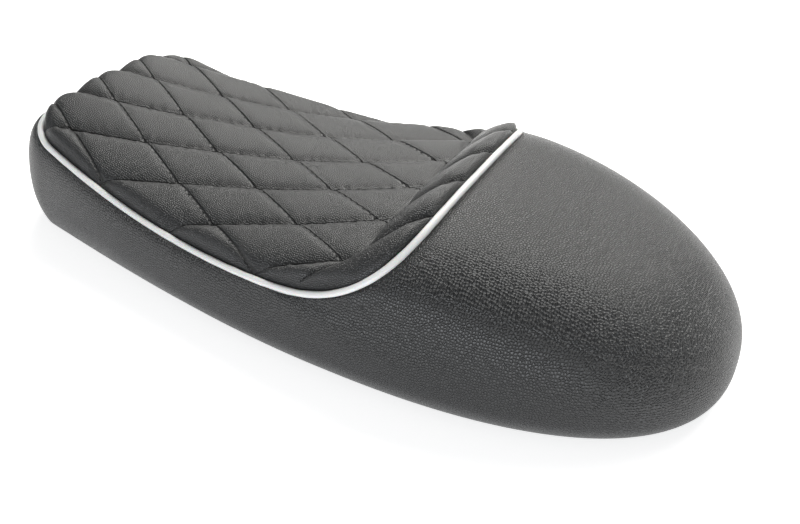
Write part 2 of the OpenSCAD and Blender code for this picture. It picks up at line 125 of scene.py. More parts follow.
def beltCurve(q):
    return planCurve(q, 0, seat["noseWidth"] / 2, seat["noseCorner"], seat["widestAt"],
                     seat["width"] / 2, 0, seat["length"] - seat["widestAt"], seat["tailFullness"])


def beadCurve(q):
    return planCurve(q, seat["beadNoseAt"], seat["noseWidth"] / 2 - seat["beadInsetNose"],
                     seat["noseCorner"] - seat["beadInsetNose"] / 2, seat["lowAt"], lowHalf,
                     seat["lowSlope"], seat["crestAt"] - seat["lowAt"], seat["crestPlan"])


def sideHeight(x):
    t = np.clip(x / seat["lowAt"], 0, 1.3)
    return (seat["beadHighNose"] * (1 - t) * (1 - 2 * t) + seat["beadHighMid"] * 4 * t * (1 - t)
            + seat["beadHighLow"] * t * (2 * t - 1))


def archHeight(y):
    s = np.clip(np.abs(y) / lowHalf, 0, 1)
    return seat["beadHighLow"] + (seat["crestHigh"] - seat["beadHighLow"]) * (
        1 - s**seat["crestAcross"])**(1 / seat["crestTop"])


def archAt(y):
    s = np.clip(np.abs(y) / lowHalf, 0, 1)
    return seat["lowAt"] + (seat["crestAt"] - seat["lowAt"]) * (
        1 - s**seat["crestPlan"])**(1 / seat["crestPlan"])


def stationList(nose, corner, side, arch, crest):
    return np.concatenate([np.arange(nose) / nose, 1 + np.arange(corner) / corner,
                           2 + np.arange(side) / side, 3 + 0.5 * np.arange(arch) / arch,
                           3.5 + 0.5 * np.arange(crest + 1) / crest])


# The whole loop is the half loop and its mirror image, and every array runs round it
class Loop:
    def __init__(self, q):
        self.half = len(q) - 1
        self.count = 2 * self.half
        self.q = np.concatenate([q, q[-2:0:-1]])
        side = np.concatenate([np.ones(len(q)), -np.ones(self.half - 1)])
        self.beltX, y = beltCurve(self.q)
        self.beltY = y * side
        self.beadX, y = beadCurve(self.q)
        self.beadY = y * side
        self.beadZ = np.where(self.q < 3, sideHeight(self.beadX), archHeight(self.beadY))
        self.beltInX, self.beltInY = self.inward(self.beltX, self.beltY)
        self.beadInX, self.beadInY = self.inward(self.beadX, self.beadY)
        noseMix = np.clip(1 - self.beltX / seat["blendLength"], 0, 1)
        self.beltZ = seat["beltSide"] + (seat["beltNose"] - seat["beltSide"]) * noseMix
        self.tuck = seat["tuckSide"] + (seat["tuckNose"] - seat["tuckSide"]) * noseMix
        self.power = 2 / (seat["wallNose"] + (seat["wallHump"] - seat["wallNose"])
                          * np.clip((self.q - 3) / seat["humpBlend"], 0, 1))

    def inward(self, x, y):
        dx, dy = np.roll(x, -1) - np.roll(x, 1), np.roll(y, -1) - np.roll(y, 1)
        length = np.hypot(dx, dy)
        return dy / length, -dx / length

    # a runs from the widest line at 0 to the seam at 90 degrees
    def wall(self, deep, a, seamGap):
        ox, oy = self.beltX + self.beltInX * deep, self.beltY + self.beltInY * deep
        ex, ey = self.beadX - self.beadInX * seamGap, self.beadY - self.beadInY * seamGap
        share = 1 - max(0.0, math.cos(a))**self.power if a < math.pi / 2 else 1.0
        rise = math.sin(a)**self.power
        return np.stack([ox + (ex - ox) * share, oy + (ey - oy) * share,
                         self.beltZ + (self.beadZ - deep - self.beltZ) * rise], 1)

    def low(self, deep, t):
        d = deep + (1 - t)**2 * self.tuck
        return np.stack([self.beltX + self.beltInX * d, self.beltY + self.beltInY * d,
                         t * self.beltZ], 1)

    def under(self, deep, z):
        d = self.tuck + deep
        return np.stack([self.beltX + self.beltInX * d, self.beltY + self.beltInY * d,
                         np.full(self.count, z)], 1)


# Smooth waves with no pattern to them: a sum of sines in seeded directions
def ripple(x, y, size, seed, waves=7):
    rng = np.random.default_rng(seed)
    turns = rng.uniform(0, 2 * np.pi, waves)
    phases = rng.uniform(0, 2 * np.pi, waves)
    stretches = rng.uniform(0.75, 1.35, waves)
    total = 0
    for turn, phase, stretch in zip(turns, phases, stretches):
        along = x * np.cos(turn) + y * np.sin(turn)
        total = total + np.sin(2 * np.pi / (size * stretch) * along + phase)
    return total / waves**0.5


def makeMesh(name, points, faces, slot, material, *nodes):
    mesh = bpy.data.meshes.new(name)
    offset = np.array([seat["length"] / 2, 0, 0])
    mesh.from_pydata(((points - offset) * mm).tolist(), [], faces)
    mesh.polygons.foreach_set("use_smooth", [True] * len(mesh.polygons))
    mesh.materials.append(material)
    piece = bpy.data.objects.new(name, mesh)
    scene.collection.objects.link(piece)
    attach(piece, "root")
    if nodes:
        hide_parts(*nodes)
    return piece


# Quads of rings that run round the seat, the last ring joined to the first
def ringFaces(rows, count):
    i, k = np.meshgrid(np.arange(rows), np.arange(count), indexing="ij")
    a, b = i * count, (i + 1) % rows * count
    n = (k + 1) % count
    return np.stack([a + k, b + k, b + n, a + n], 2).reshape(-1, 4)


# Embossed PVC upholstery vinyl: a satin skin of small pebbles, with painted shade darkening the valleys
# between them.
# Lengths are in mm. Such grain is about 1 to 1.5 mm across and its finest wrinkles are 0.1 mm:
# both are drawn coarser here, so that they still show at the photograph's size.
vinyl = {
    "colour": "#28292A", "valleyShade": "#0E0F10", "gloss": 1.6, "shine": 0.36, "shineSpread": 0.03,
    "patchSize": 60, "sheen": 0.04, "sheenSpread": 0.5,
    "pebbleSize": 1.9, "pebbleDepth": 0.5, "pebbleMix": 0.8, "valleyWidth": 0.3,
    "driftSize": 14, "drift": 0.5, "wrinkleSize": 0.5, "wrinkleShare": 0.05,
    "stretchedSize": 0.8, "stretchedDepth": 0.55, "endBlend": 0.06, "topFrom": 0.6, "topTo": 0.7,
    # the seam colour is painted shade, put at the bottom of each quilting seam
    "seam": "#060606", "seamReach": 1.4, "seamDepth": 1.2, "seamPitch": 43.9,
}


# The sharp bottom of each quilting seam, sunk by a bump and coloured near black as painted shade, from the
# count of lines carried by the panel's mesh
def addSeams(tree, colour, bump):
    count = addNode(tree, "ShaderNodeAttribute", {"attribute_name": "seamCount"})
    parts = addNode(tree, "ShaderNodeSeparateXYZ", None, {"Vector": count.outputs["Vector"]})
    reach = vinyl["seamReach"] / vinyl["seamPitch"]
    close = []
    for axis in ("X", "Y"):
        away = addNode(tree, "ShaderNodeMath", {"operation": "PINGPONG", 1: 0.5},
                       {0: parts.outputs[axis]})
        near = addNode(tree, "ShaderNodeMapRange", {
            "interpolation_type": "SMOOTHSTEP", "From Min": 0.0, "From Max": reach,
            "To Min": 1.0, "To Max": 0.0}, {"Value": away.outputs["Value"]})
        close.append(near.outputs["Result"])
    shut = addNode(tree, "ShaderNodeMath", {"operation": "MAXIMUM"}, {0: close[0], 1: close[1]})
    inside = addNode(tree, "ShaderNodeMath", {"operation": "MULTIPLY"},
                     {0: shut.outputs["Value"], 1: parts.outputs["Z"]})
    # painted shade: the bottom of each seam line is coloured near black, as if in shadow
    dark = addNode(tree, "ShaderNodeMix", {"data_type": "RGBA", 7: linearColour(vinyl["seam"])},
                   {0: inside.outputs["Value"], 6: colour.outputs[2]})
    sunk = addNode(tree, "ShaderNodeBump", {"invert": True, "Distance": vinyl["seamDepth"] * mm},
                   {"Height": inside.outputs["Value"], "Normal": bump.outputs["Normal"]})
    return dark, sunk


# Pebbles pressed in flat from the three sides, each used where the skin faces that side most
def embossedGrain(tree, place, pebbleSize):
    spot = addNode(tree, "ShaderNodeSeparateXYZ", None, {"Vector": place})
    facing = addNode(tree, "ShaderNodeSeparateXYZ", None,
                     {"Vector": addNode(tree, "ShaderNodeTexCoord").outputs["Normal"]})
    size = {axis: addNode(tree, "ShaderNodeMath", {"operation": "ABSOLUTE"}, {0: facing.outputs[axis]})
            for axis in "XYZ"}
    grain = {}
    for axis, (across, up) in {"X": "YZ", "Y": "XZ", "Z": "XY"}.items():
        flat = addNode(tree, "ShaderNodeCombineXYZ", None,
                       {"X": spot.outputs[across], "Y": spot.outputs[up]})
        cells = addNode(tree, "ShaderNodeTexVoronoi", {
            "feature": "DISTANCE_TO_EDGE", "voronoi_dimensions": "2D", "Scale": 1 / (pebbleSize * mm),
            "Randomness": vinyl["pebbleMix"]}, {"Vector": flat.outputs["Vector"]})
        grain[axis] = addNode(tree, "ShaderNodeMapRange", {
            "interpolation_type": "SMOOTHSTEP", "From Min": 0.0, "From Max": vinyl["valleyWidth"]},
            {"Value": cells.outputs["Distance"]})
    ends = addNode(tree, "ShaderNodeMath", {"operation": "SUBTRACT"},
                   {0: size["X"].outputs["Value"], 1: size["Y"].outputs["Value"]})
    endShare = addNode(tree, "ShaderNodeMapRange",
                       {"From Min": -vinyl["endBlend"], "From Max": vinyl["endBlend"]},
                       {"Value": ends.outputs["Value"]})
    topShare = addNode(tree, "ShaderNodeMapRange",
                       {"From Min": vinyl["topFrom"], "From Max": vinyl["topTo"]},
                       {"Value": size["Z"].outputs["Value"]})
    walls = addNode(tree, "ShaderNodeMix", {"data_type": "FLOAT"}, {
        0: endShare.outputs["Result"], 2: grain["Y"].outputs["Result"], 3: grain["X"].outputs["Result"]})
    skin = addNode(tree, "ShaderNodeMix", {"data_type": "FLOAT"}, {
        0: topShare.outputs["Result"], 2: walls.outputs[0], 3: grain["Z"].outputs["Result"]})
    return skin.outputs[0]


def vinylMaterial(name, pebbleSize, pebbleDepth, seams=False):
    material, tree = newMaterial(name)
    place = addNode(tree, "ShaderNodeTexCoord").outputs["Object"]
    # the grain wanders a little, as it does where the sheet is pulled over the foam
    drift = addNode(tree, "ShaderNodeTexNoise", {"Scale": 1 / (vinyl["driftSize"] * mm), "Detail": 1.0},
                    {"Vector": place})
    shift = addNode(tree, "ShaderNodeVectorMath", {"operation": "SCALE", 3: vinyl["drift"] * mm},
                    {0: drift.outputs["Color"]})
    moved = addNode(tree, "ShaderNodeVectorMath", {"operation": "ADD"},
                    {0: place, 1: shift.outputs["Vector"]})
    dome = embossedGrain(tree, moved.outputs["Vector"], pebbleSize)
    wrinkle = addNode(tree, "ShaderNodeTexNoise",
                      {"Scale": 1 / (vinyl["wrinkleSize"] * mm), "Detail": 3.0}, {"Vector": place})
    height = addNode(tree, "ShaderNodeMath", {"operation": "MULTIPLY_ADD", 1: vinyl["wrinkleShare"]},
                     {0: wrinkle.outputs["Fac"], 2: dome})
    bump = addNode(tree, "ShaderNodeBump", {"Strength": 1.0, "Distance": pebbleDepth * mm},
                   {"Height": height.outputs["Value"]})
    patches = addNode(tree, "ShaderNodeTexNoise",
                      {"Scale": 1 / (vinyl["patchSize"] * mm), "Detail": 3.0}, {"Vector": place})
    # painted shade: the valleys between the pebbles are coloured darker than the pebble tops
    colour = addNode(tree, "ShaderNodeMix", {"data_type": "RGBA", 6: linearColour(vinyl["valleyShade"]),
                     7: linearColour(vinyl["colour"])}, {0: dome})
    if seams:
        colour, bump = addSeams(tree, colour, bump)
    shine = addNode(tree, "ShaderNodeMapRange", {"To Min": vinyl["shine"] - vinyl["shineSpread"] / 2,
                    "To Max": vinyl["shine"] + vinyl["shineSpread"]}, {"Value": patches.outputs["Fac"]})
    skin = addNode(tree, "ShaderNodeBsdfPrincipled", {
        "IOR": vinyl["gloss"], "Sheen Weight": vinyl["sheen"], "Sheen Roughness": vinyl["sheenSpread"]},
                   {"Base Color": colour.outputs[2], "Roughness": shine.outputs["Result"],
                    "Normal": bump.outputs["Normal"]})
    addNode(tree, "ShaderNodeOutputMaterial", None, {"Surface": skin.outputs["BSDF"]})
    return material


# Extruded PVC: plain white with a soft gloss, barely uneven, and a skin that light enters a little
pvc = {
    "colour": "#F4F4F2", "gloss": 1.53, "shineLow": 0.32, "shineHigh": 0.45, "unevenSize": 6,
    "unevenDepth": 0.1, "unevenShare": 0.2, "soft": 0.1, "softDepth": 0.8,
}


def pipingMaterial():
    material, tree = newMaterial("white extruded PVC piping")
    place = addNode(tree, "ShaderNodeTexCoord").outputs["Object"]
    cloud = addNode(tree, "ShaderNodeTexNoise", {"Scale": 1 / (pvc["unevenSize"] * mm), "Detail": 3.0},
                    {"Vector": place})
    bump = addNode(tree, "ShaderNodeBump",
                   {"Strength": pvc["unevenShare"], "Distance": pvc["unevenDepth"] * mm},
                   {"Height": cloud.outputs["Fac"]})
    shine = addNode(tree, "ShaderNodeMapRange", {"To Min": pvc["shineLow"], "To Max": pvc["shineHigh"]},
                    {"Value": cloud.outputs["Fac"]})
    skin = addNode(tree, "ShaderNodeBsdfPrincipled", {
        "Base Color": linearColour(pvc["colour"]), "IOR": pvc["gloss"], "Subsurface Weight": pvc["soft"],
        "Subsurface Scale": pvc["softDepth"] * mm},
                   {"Roughness": shine.outputs["Result"], "Normal": bump.outputs["Normal"]})
    addNode(tree, "ShaderNodeOutputMaterial", None, {"Surface": skin.outputs["BSDF"]})
    return material


# Plain finishes with a fine uneven grain, whose size and depth are given in mm
plain = {"bump": 0.6, "shineSpread": 0.08}


def grainedMaterial(name, colour, dark, grain, depth, roughness, metallic=0.0):
    material, tree = newMaterial(name)
    place = addNode(tree, "ShaderNodeTexCoord").outputs["Object"]
    cloud = addNode(tree, "ShaderNodeTexNoise", {"Scale": 1 / (grain * mm), "Detail": 4.0},
                    {"Vector": place})
    bump = addNode(tree, "ShaderNodeBump", {"Strength": plain["bump"], "Distance": depth * mm},
                   {"Height": cloud.outputs["Fac"]})
    tint = addNode(tree, "ShaderNodeMix", {"data_type": "RGBA", 6: linearColour(dark),
                   7: linearColour(colour)}, {0: cloud.outputs["Fac"]})
    shine = addNode(tree, "ShaderNodeMapRange", {
        "To Min": roughness - plain["shineSpread"], "To Max": roughness + plain["shineSpread"]},
        {"Value": cloud.outputs["Fac"]})
    skin = addNode(tree, "ShaderNodeBsdfPrincipled", {"Metallic": metallic},
                   {"Base Color": tint.outputs[2], "Roughness": shine.outputs["Result"],
                    "Normal": bump.outputs["Normal"]})
    addNode(tree, "ShaderNodeOutputMaterial", None, {"Surface": skin.outputs["BSDF"]})
    return material


coverVinyl = vinylMaterial("black embossed PVC vinyl", vinyl["pebbleSize"], vinyl["pebbleDepth"])
quiltVinyl = vinylMaterial("black embossed PVC vinyl, stretched",
                           vinyl["pebbleSize"] * vinyl["stretchedSize"],
                           vinyl["pebbleDepth"] * vinyl["stretchedDepth"], seams=True)
whitePvc = pipingMaterial()
# the thread's twist of 0.4 mm breaks up its gloss
threadBlack = grainedMaterial("black bonded polyester thread", "#1B1B1D", "#0C0C0D", 0.4, 0.1, 0.5)
hiddenFinish = {
    # an even, low gloss over the mould's spark-eroded grain, drawn at 0.9 mm so that it shows
    "base_plastic": grainedMaterial("black moulded ABS", "#1E1E20", "#161617", 0.9, 0.08, 0.5),
    # pale and quite matt, with darker open pores
    "seat_foam": grainedMaterial("moulded polyurethane foam", "#E2D3A0", "#B59D62", 1.4, 0.5, 0.9),
    # dull grey metal with a faint cloud in its zinc
    "staple_steel": grainedMaterial("galvanised steel wire", "#C4C6C8", "#A9ABAD", 1.2, 0.02, 0.35, 1.0),
    # soft yellowish metal, cloudy from its passivation
    "insert_steel": grainedMaterial("zinc plated steel", "#CFC79A", "#B7AE80", 2.0, 0.02, 0.32, 1.0),
    # deep black with hardly any gloss
    "buffer_rubber": grainedMaterial("moulded black rubber", "#191919", "#101010", 0.8, 0.06, 0.7),
}
finishOf = {s["node"]: s["material_slot"] for s in frame["record"]["subparts"]}
for nodeName, piece in frame["nodes"].items():
    if finishOf.get(nodeName) in hiddenFinish:
        piece.data.materials.clear()
        piece.data.materials.append(hiddenFinish[finishOf[nodeName]])
print("materials made")


# The plain cover: one sheet from the seam down the wall, under the rim and up to its stapled hem.
# Lengths are in mm; rollSharp says how soon the sheet leaves the bead, and tuckEnd where the turn starts.
cover = {
    "wallRows": 44, "tuckRows": 8, "tuckEnd": 0.06, "turnStart": 0.35, "innerWall": 0.55,
    "seamGap": 0.1, "tuckedGap": 0.9, "tuckedDrop": 0.4, "besideDrop": 1.6, "rollDrop": 0.9,
    "rollSharp": 400, "sag": 0.35, "sagSize": 110, "sagRise": 0.5, "hemWall": 5, "hemRound": 0.6,
    "hemStart": 2, "pleat": 0.35, "pleatSize": 9,
}
loop = Loop(stationList(36, 30, 110, 70, 60))


# Each row runs once round the seat, with the share of the sag that it takes
def coverRows():
    seamGap = beadR + cover["seamGap"]
    thick, edge, hemHigh = seat["vinyl"], seat["edge"], seat["hemUnder"]
    rows, sagShares = [], []

    def add(row, sagShare=0):
        rows.append(row)
        sagShares.append(sagShare)

    # the cut edge is tucked into the seam, and the sheet rolls down beside the bead
    tucked = loop.wall(0, math.pi / 2, cover["tuckedGap"])
    tucked[:, 2] -= beadR + cover["tuckedDrop"]
    add(tucked)
    beside = loop.wall(0, math.pi / 2, seamGap)
    beside[:, 2] -= cover["besideDrop"]
    add(beside)
    for a in np.linspace(math.pi / 2, 0, cover["wallRows"]):
        row = loop.wall(0, a, seamGap)
        row[:, 2] -= cover["rollDrop"] * np.exp(-(1 - math.sin(a)) * cover["rollSharp"])
        add(row, math.sin(2 * a))
    for t in np.linspace(1, cover["tuckEnd"], cover["tuckRows"])[1:]:
        add(loop.low(0, t))

    # round the bottom edge, under the rim and up inside it
    hemIn = thick + seat["gap"] + edge + seat["rim"] + seat["gap"] + thick
    for a in np.linspace(cover["turnStart"], math.pi / 2, 4):
        add(loop.under(edge * math.sin(a), edge * (1 - math.sin(a)) / 2))
    softly = edge * 0.3
    hemRound = cover["hemRound"]
    for d, z in ((hemIn - edge, 0), (hemIn - softly, softly), (hemIn, edge), (hemIn, cover["hemWall"]),
                 (hemIn, hemHigh - hemRound), (hemIn + hemRound, hemHigh)):
        add(loop.under(d, z))

    # the hem lies under the base, with light pleats where the outline turns
    turning = np.clip((loop.q - 3) * 3, 0, 1) + np.clip(1 - np.abs(loop.q - 1.5) * 2, 0, 1)
    folds = (0.5 + 0.5 * ripple(loop.beltX, loop.beltY, cover["pleatSize"], seed=5)).clip(0, 2)
    for d in np.linspace(cover["hemStart"], seat["hemLap"], 5):
        row = loop.under(hemIn + d, hemHigh)
        row[:, 2] -= turning * cover["pleat"] * folds * d / seat["hemLap"]
        add(row)

    # back along the sheet's inner side
    lap = rows[-1].copy()
    lap[:, 2] += thick
    add(lap)
    add(loop.under(hemIn - thick, hemHigh + thick))
    add(loop.under(hemIn - thick, thick))
    add(loop.under(thick + edge / 2, thick))
    add(loop.low(thick, cover["innerWall"]))
    for a in np.linspace(0, math.pi / 2, 7):
        add(loop.wall(thick, a, seamGap + cover["seamGap"]))
    return rows, sagShares


def buildCover():
    rows, sagShares = coverRows()
    for row, share in zip(rows, sagShares):
        if share > 0:
            x, y, z = row[:, 0], row[:, 1], row[:, 2]
            sag = cover["sag"] * ripple(x + z, y - z, cover["sagSize"], seed=11)
            row[:, 0] -= loop.beltInX * sag * share
            row[:, 1] -= loop.beltInY * sag * share
            row[:, 2] += cover["sagRise"] * sag * share
    points = np.concatenate(rows)
    faces = ringFaces(len(rows), loop.count).tolist()
    return makeMesh("coverSkirt", points, faces, "cover_vinyl", coverVinyl, "cover_skirt")


coverPiece = buildCover()
print("cover built")


# The piping: a round bead that stands square to the seam all round
piping = {"sides": 18, "waver": 0.024, "waverSize": 16}


def buildPiping():
    middle = np.stack([loop.beadX, loop.beadY, loop.beadZ], 1)
    along = np.roll(middle, -1, 0) - np.roll(middle, 1, 0)
    along /= np.linalg.norm(along, axis=1)[:, None]
    across = np.stack([loop.beadInX, loop.beadInY, np.zeros(loop.count)], 1)
    up = np.cross(across, along)
    up /= np.linalg.norm(up, axis=1)[:, None]
    run = np.cumsum(np.linalg.norm(np.roll(middle, -1, 0) - middle, axis=1))
    radius = beadR * (1 + piping["waver"] * ripple(run, 0 * run, piping["waverSize"], seed=3))
    rows = [middle + radius[:, None] * (math.cos(a) * across + math.sin(a) * up)
            for a in np.linspace(2 * math.pi, 0, piping["sides"], endpoint=False)]
    faces = ringFaces(len(rows), loop.count).tolist()
    return makeMesh("whitePiping", np.concatenate(rows), faces, "welt_vinyl", whitePvc, "piping")


buildPiping()
print("piping built")


# The quilted panel, a grid blended from its four edges, with pillows between the stitch lines.
# Lengths and reaches are in mm; a pillow stands on the seat, a lobe on the hump's face.
quilt = {
    "step": 1.5, "edgeCrowd": 0.6, "sideCrowd": 0.36, "thickness": 2.5, "underStep": 4,
    "pillow": 5.8, "steepReach": 12, "gentleReach": 30, "sideReach": 8, "flushShare": 0.7,
    "pillowSpread": 0.1, "stitchSink": 1.8, "lineWaver": 1.2, "lineWaverSize": 120, "fade": 3,
    "edgeNotch": 0.45, "notchReach": 12, "pucker": 0.3, "puckerReach": 8, "puckerSize": 13,
    "faceStretch": 1.6, "lobe": 9, "lobeReach": 19, "lobeCrease": 0.06, "lobeCreaseReach": 3,
    "tipRound": 7, "tipReach": 20, "valleyReach": 12, "valleyWaver": 1.5, "valleyWaverSize": 40,
    "deepest": 2.7, "rimInset": 0.15, "rimRoll": 1.6, "rimOut": 1.2, "rimDrop": 0.6, "rimCentre": 190,
    "faceLinesFrom": 4, "seamShownFrom": 0.4,
}
# points across the nose, round its corner, along the side, up the hump's corner and over its crest
quiltStations = (36, 32, 128, 64, 68)
quiltLoop = Loop(stationList(*quiltStations))


def seamWidth(x):
    alongSide = slice(quiltStations[0], quiltLoop.half + 1)
    return np.maximum(1, np.interp(x, quiltLoop.beadX[alongSide], quiltLoop.beadY[alongSide]))


# Share of a quarter-round rise at t along it
def rollUp(t):
    return np.sqrt(1 - (1 - np.clip(t, 0, 1))**2)


# Distance in plan from the inner side of the bead, worked out in blocks to spare memory
def seamDistance(x, y, block=4000):
    x, y = np.broadcast_arrays(np.asarray(x, float), np.asarray(y, float))
    flat = np.stack([x.ravel(), np.abs(y).ravel()], 1)
    line = np.stack([quiltLoop.beadX, quiltLoop.beadY], 1)[:quiltLoop.half + 1]
    start, along = line[:-1], np.diff(line, axis=0)
    nearest = np.empty(len(flat))
    for k in range(0, len(flat), block):
        away = flat[k:k + block, None, :] - start[None]
        t = np.clip((away * along).sum(2) / (along**2).sum(1), 0, 1)
        nearest[k:k + block] = np.linalg.norm(away - t[..., None] * along, axis=2).min(1)
    return nearest.reshape(x.shape) - beadR - seat["gap"]


# The plain surface under the pillows: edge is the distance from the bead, h the share of the hump's face
def seatHeight(x, y, edge=None):
    edge = seamDistance(x, y) if edge is None else edge
    arch = archAt(y)
    t = np.clip((x - arch + seat["faceDepth"]) / seat["faceDepth"], 0, 1)
    h = np.sin(np.pi / 2 * t)
    e = np.clip(np.abs(y) / seamWidth(x), 0, 1)
    front = x - seat["beadNoseAt"] - beadR - seat["gap"]
    puff = seat["edgeHigh"] * rollUp((edge + seat["gap"]) / (seat["edgeRoll"] + seat["gap"]))
    crown = seat["crown"] * rollUp(front / seat["noseRoll"]) * (1 - e**seat["crownForm"])
    crest = archHeight(np.abs(y) + beadR + seat["gap"])
    return sideHeight(x) + (puff + crown) * (1 - h) + (crest - sideHeight(arch)) * h


def wander(x, y):
    return quilt["lineWaver"] * ripple(x, y, quilt["lineWaverSize"], seed=21)


# The two counts of stitch lines at a place: a whole number is a line, a half the middle of a diamond
def latticeAt(x, y):
    xs = x + wander(x, y)
    xs = xs + np.maximum(0, x - archAt(y) + seat["faceDepth"]) * (quilt["faceStretch"] - 1)
    length = (xs - seat["quiltStart"]) / seat["diamondLength"]
    t = y / seat["diamondWidth"]
    return length + t + 1.5, t - length + 1.5


def quiltHeight(x, y):
    i, j = latticeAt(x, y)
    edge = seamDistance(x, y)
    pitch = vinyl["seamPitch"]
    alongA, alongB = i - np.floor(i), j - np.floor(j)
    nearA = np.minimum(alongA, 1 - alongA) * pitch
    nearB = np.minimum(alongB, 1 - alongB) * pitch

    # how far up the hump's face, measured from the valley crease, into which both sides roll down
    behind = x - archAt(y) + seat["faceDepth"]
    behind = (behind - quilt["tipRound"] * (1 - rollUp(nearB / quilt["tipReach"]))
              + quilt["valleyWaver"] * ripple(x, y, quilt["valleyWaverSize"], seed=41))
    seatSide = rollUp(-behind / quilt["valleyReach"])
    humpSide = rollUp(behind / quilt["valleyReach"])

    # a pillow drops steeply to its line on one side and runs out gently on the other
    steep = rollUp((1 - alongB) * pitch / quilt["steepReach"])
    gentle = rollUp(alongB * pitch / quilt["gentleReach"])
    sides = rollUp(nearA / quilt["sideReach"])
    flush = quilt["flushShare"] + (1 - quilt["flushShare"]) * sides
    # every pillow is sewn a little fuller or flatter than the next
    size = 1 + quilt["pillowSpread"] * np.sin((np.floor(i) * 7.31 + np.floor(j) * 3.17) * 2.3)
    pillow = size * flush * steep * gentle

    crease = quilt["lobeCrease"] * np.exp(-(nearA / quilt["lobeCreaseReach"])**2)
    lobe = rollUp(nearB / quilt["lobeReach"]) * (1 - crease)
    gather = quilt["pucker"] * np.exp(-(nearB / quilt["puckerReach"])**2) * ripple(
        x * 1.6 + y * 0.8, y * 0.7, quilt["puckerSize"], seed=32)
    rise = quilt["pillow"] * pillow * seatSide + quilt["lobe"] * lobe * humpSide + gather

    # the seat's edge dips where a stitch line meets the bead
    held = 1 - np.maximum(flush * steep * gentle, humpSide)
    puff = 1 - quilt["edgeNotch"] * held * np.exp(-edge / quilt["notchReach"])
    plainHeight, low = seatHeight(x, y, edge), sideHeight(x)
    body = low + (plainHeight - low) * np.where(behind < 0, puff, 1)
    fade = rollUp(np.clip(edge, 0, None) / quilt["fade"])
    return np.maximum(body + fade * (rise - quilt["stitchSink"]), plainHeight - quilt["deepest"])


# Places in plan of the panel's grid, which follows the bead along all four of its edges
def quiltGrid():
    half = quiltLoop.half
    inset = beadR + quilt["rimInset"]
    sx = (quiltLoop.beadX + quiltLoop.beadInX * inset)[:half + 1]
    sy = (quiltLoop.beadY + quiltLoop.beadInY * inset)[:half + 1]
    sy[0] = sy[-1] = 0
    front, corner, side, arch, _ = quiltStations
    nv = front + corner // 2                    # from the centre line to the middle of the nose corner
    nu = corner // 2 + side + arch              # along the side to the corner of the crest
    line = np.stack([sx, sy], 1)
    run = np.concatenate([[0], np.cumsum(np.linalg.norm(np.diff(line, axis=0), axis=1))])

    # points crowd toward the seam, where the panel rolls over
    def spread(start, stop, count, crowd, atEnd):
        s = np.linspace(0, 1, count + 1)
        crowded = np.sin(math.pi / 2 * s) if atEnd else 1 - np.cos(math.pi / 2 * s)
        at = run[start] + (run[stop] - run[start]) * ((1 - crowd) * s + crowd * crowded)
        return np.stack([np.interp(at, run, sx), np.interp(at, run, sy)], 1)

    stride = quilt["underStep"]
    acrossN = stride * round(run[nv] / quilt["step"] / stride)
    alongN = stride * round((run[nv + nu] - run[nv]) / quilt["step"] / stride)
    frontRow = spread(0, nv, acrossN, quilt["edgeCrowd"], True)
    crestRow = spread(half, nv + nu, acrossN, quilt["edgeCrowd"], True)
    sideRow = spread(nv, nv + nu, alongN, quilt["sideCrowd"], False)
    j = np.abs(np.arange(-acrossN, acrossN + 1))
    sign = np.where(np.arange(-acrossN, acrossN + 1) < 0, -1, 1)
    u = ((sideRow[:, 0] - sideRow[0, 0]) / (sideRow[-1, 0] - sideRow[0, 0]))[:, None]
    v = (frontRow[j, 1] / frontRow[-1, 1])[None, :]
    w = (crestRow[j, 1] / crestRow[-1, 1])[None, :]
    n = v + (w - v) * u
    grid = []
    for c in (0, 1):
        f, s, a = frontRow[:, c], sideRow[:, c], crestRow[:, c]
        middle = f[0] + (a[0] - f[0]) * u
        edges = (1 - u) * f[j][None, :] + u * a[j][None, :] + (1 - n) * middle + n * s[:, None]
        grid.append(edges - (1 - u) * (1 - n) * f[0] - (1 - u) * n * f[-1]
                    - u * (1 - n) * a[0] - u * n * a[-1])
    return grid[0], grid[1] * sign[None, :]


